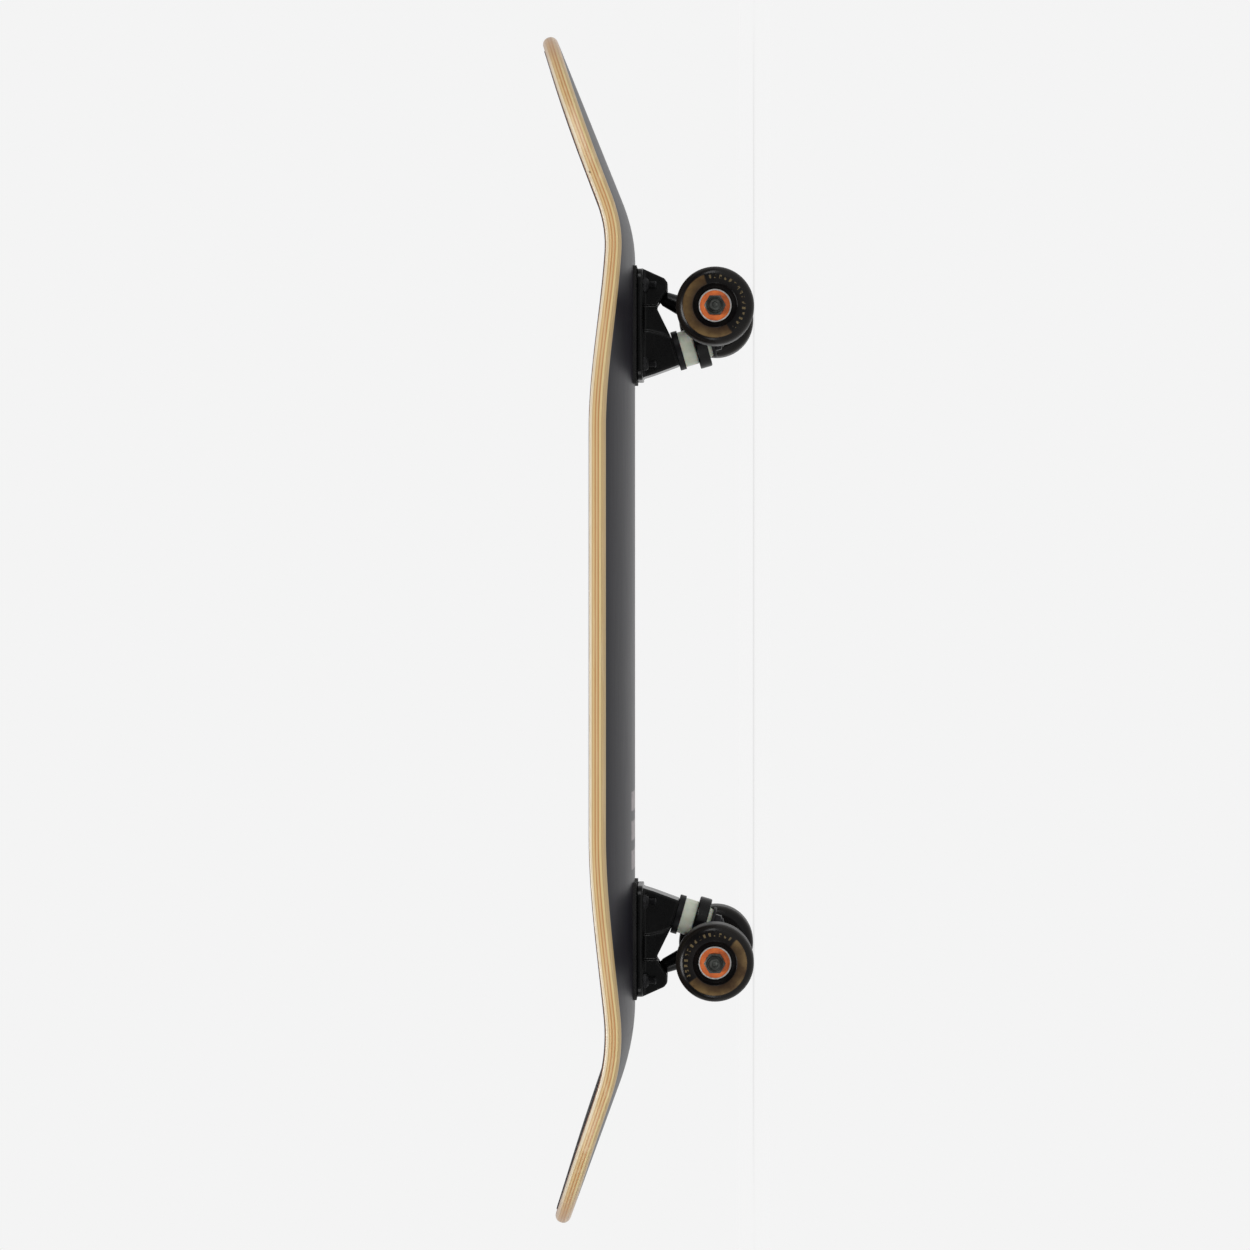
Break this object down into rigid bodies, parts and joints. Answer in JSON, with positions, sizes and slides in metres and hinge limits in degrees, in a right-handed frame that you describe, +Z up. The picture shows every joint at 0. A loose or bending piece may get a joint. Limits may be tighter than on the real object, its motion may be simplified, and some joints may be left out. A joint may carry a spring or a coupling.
{
  "type": "skateboard",
  "caption": "Kicked and concave wooden skateboard deck with griptape, on kingpin trucks that lean to steer, with urethane wheels on ball bearings.",
  "frame": {"origin": "on the ground, under the middle of the deck's length and width", "axes": "+X to the nose, +Y to the board's left, +Z up"},
  "size_m": [0.8122, 0.203, 0.1468],
  "materials": {
    "maple": "lacquered",
    "grip": "coarse abrasive",
    "riser_rubber": "matt",
    "black_casting": "gloss",
    "black_steel": "satin",
    "steel": "turned",
    "bushing_urethane": "satin",
    "cup_urethane": "satin",
    "wheel_urethane": "gloss",
    "shield_rubber": "satin",
    "ball_steel": "polished",
    "retainer_nylon": "moulded"
  },
  "bodies": {
    "board": {"deck": "maple", "griptape": "grip", "front_riser_pad": "riser_rubber", "front_baseplate": "black_casting", "front_mounting_bolts": "black_steel", "front_mounting_nuts": "black_steel", "front_kingpin": "black_steel", "front_pivot_cup": "cup_urethane", "front_lower_cup_washer": "black_steel", "front_board_bushing": "bushing_urethane", "front_road_bushing": "bushing_urethane", "front_top_cup_washer": "black_steel", "front_kingpin_nut": "black_steel", "rear_riser_pad": "riser_rubber", "rear_baseplate": "black_casting", "rear_mounting_bolts": "black_steel", "rear_mounting_nuts": "black_steel", "rear_kingpin": "black_steel", "rear_pivot_cup": "cup_urethane", "rear_lower_cup_washer": "black_steel", "rear_board_bushing": "bushing_urethane", "rear_road_bushing": "bushing_urethane", "rear_top_cup_washer": "black_steel", "rear_kingpin_nut": "black_steel"},
    "front_truck": {"front_hanger": "black_casting", "front_axle": "steel", "front_speed_washers": "steel", "front_axle_nuts": "black_steel", "front_bearing_inner_races": "steel", "front_bearing_spacers": "steel"},
    "front_left_rolling_wheel": {"front_left_wheel": "wheel_urethane", "front_left_bearing_outer_races": "steel", "front_left_bearing_shields": "shield_rubber"},
    "front_left_ball_cages": {"front_left_bearing_balls": "ball_steel", "front_left_ball_retainers": "retainer_nylon"},
    "front_right_rolling_wheel": {"front_right_wheel": "wheel_urethane", "front_right_bearing_outer_races": "steel", "front_right_bearing_shields": "shield_rubber"},
    "front_right_ball_cages": {"front_right_bearing_balls": "ball_steel", "front_right_ball_retainers": "retainer_nylon"},
    "rear_truck": {"rear_hanger": "black_casting", "rear_axle": "steel", "rear_speed_washers": "steel", "rear_axle_nuts": "black_steel", "rear_bearing_inner_races": "steel", "rear_bearing_spacers": "steel"},
    "rear_left_rolling_wheel": {"rear_left_wheel": "wheel_urethane", "rear_left_bearing_outer_races": "steel", "rear_left_bearing_shields": "shield_rubber"},
    "rear_left_ball_cages": {"rear_left_bearing_balls": "ball_steel", "rear_left_ball_retainers": "retainer_nylon"},
    "rear_right_rolling_wheel": {"rear_right_wheel": "wheel_urethane", "rear_right_bearing_outer_races": "steel", "rear_right_bearing_shields": "shield_rubber"},
    "rear_right_ball_cages": {"rear_right_bearing_balls": "ball_steel", "rear_right_ball_retainers": "retainer_nylon"}
  },
  "joints": [
    {"name": "front_steer", "type": "hinge", "parent": "board", "child": "front_truck", "pos_m": [0.23, 0, 0.0674], "axis": [0.739, 0, 0.6738], "range_deg": [-13, 13], "stiffness_Nm_per_rad": 40, "deforming": ["front_board_bushing", "front_road_bushing"]},
    {"name": "front_left_wheel_spin", "type": "hinge", "parent": "front_truck", "child": "front_left_rolling_wheel", "pos_m": [0.217, 0, 0.026], "axis": [0, 1, 0], "continuous": true},
    {"name": "front_left_cage_spin", "type": "hinge", "parent": "front_truck", "child": "front_left_ball_cages", "pos_m": [0.217, 0, 0.026], "axis": [0, 1, 0], "continuous": true},
    {"name": "front_right_wheel_spin", "type": "hinge", "parent": "front_truck", "child": "front_right_rolling_wheel", "pos_m": [0.217, 0, 0.026], "axis": [0, 1, 0], "continuous": true},
    {"name": "front_right_cage_spin", "type": "hinge", "parent": "front_truck", "child": "front_right_ball_cages", "pos_m": [0.217, 0, 0.026], "axis": [0, 1, 0], "continuous": true},
    {"name": "rear_steer", "type": "hinge", "parent": "board", "child": "rear_truck", "pos_m": [-0.2328, 0, 0.0674], "axis": [-0.739, 0, 0.6738], "range_deg": [-13, 13], "stiffness_Nm_per_rad": 40, "deforming": ["rear_board_bushing", "rear_road_bushing"]},
    {"name": "rear_left_wheel_spin", "type": "hinge", "parent": "rear_truck", "child": "rear_left_rolling_wheel", "pos_m": [-0.2198, 0, 0.026], "axis": [0, 1, 0], "continuous": true},
    {"name": "rear_left_cage_spin", "type": "hinge", "parent": "rear_truck", "child": "rear_left_ball_cages", "pos_m": [-0.2198, 0, 0.026], "axis": [0, 1, 0], "continuous": true},
    {"name": "rear_right_wheel_spin", "type": "hinge", "parent": "rear_truck", "child": "rear_right_rolling_wheel", "pos_m": [-0.2198, 0, 0.026], "axis": [0, 1, 0], "continuous": true},
    {"name": "rear_right_cage_spin", "type": "hinge", "parent": "rear_truck", "child": "rear_right_ball_cages", "pos_m": [-0.2198, 0, 0.026], "axis": [0, 1, 0], "continuous": true}
  ],
  "couplings": [
    {"joint": "front_left_cage_spin", "follows": "front_left_wheel_spin", "ratio": 0.632},
    {"joint": "front_right_cage_spin", "follows": "front_right_wheel_spin", "ratio": 0.632},
    {"joint": "rear_left_cage_spin", "follows": "rear_left_wheel_spin", "ratio": 0.632},
    {"joint": "rear_right_cage_spin", "follows": "rear_right_wheel_spin", "ratio": 0.632}
  ]
}
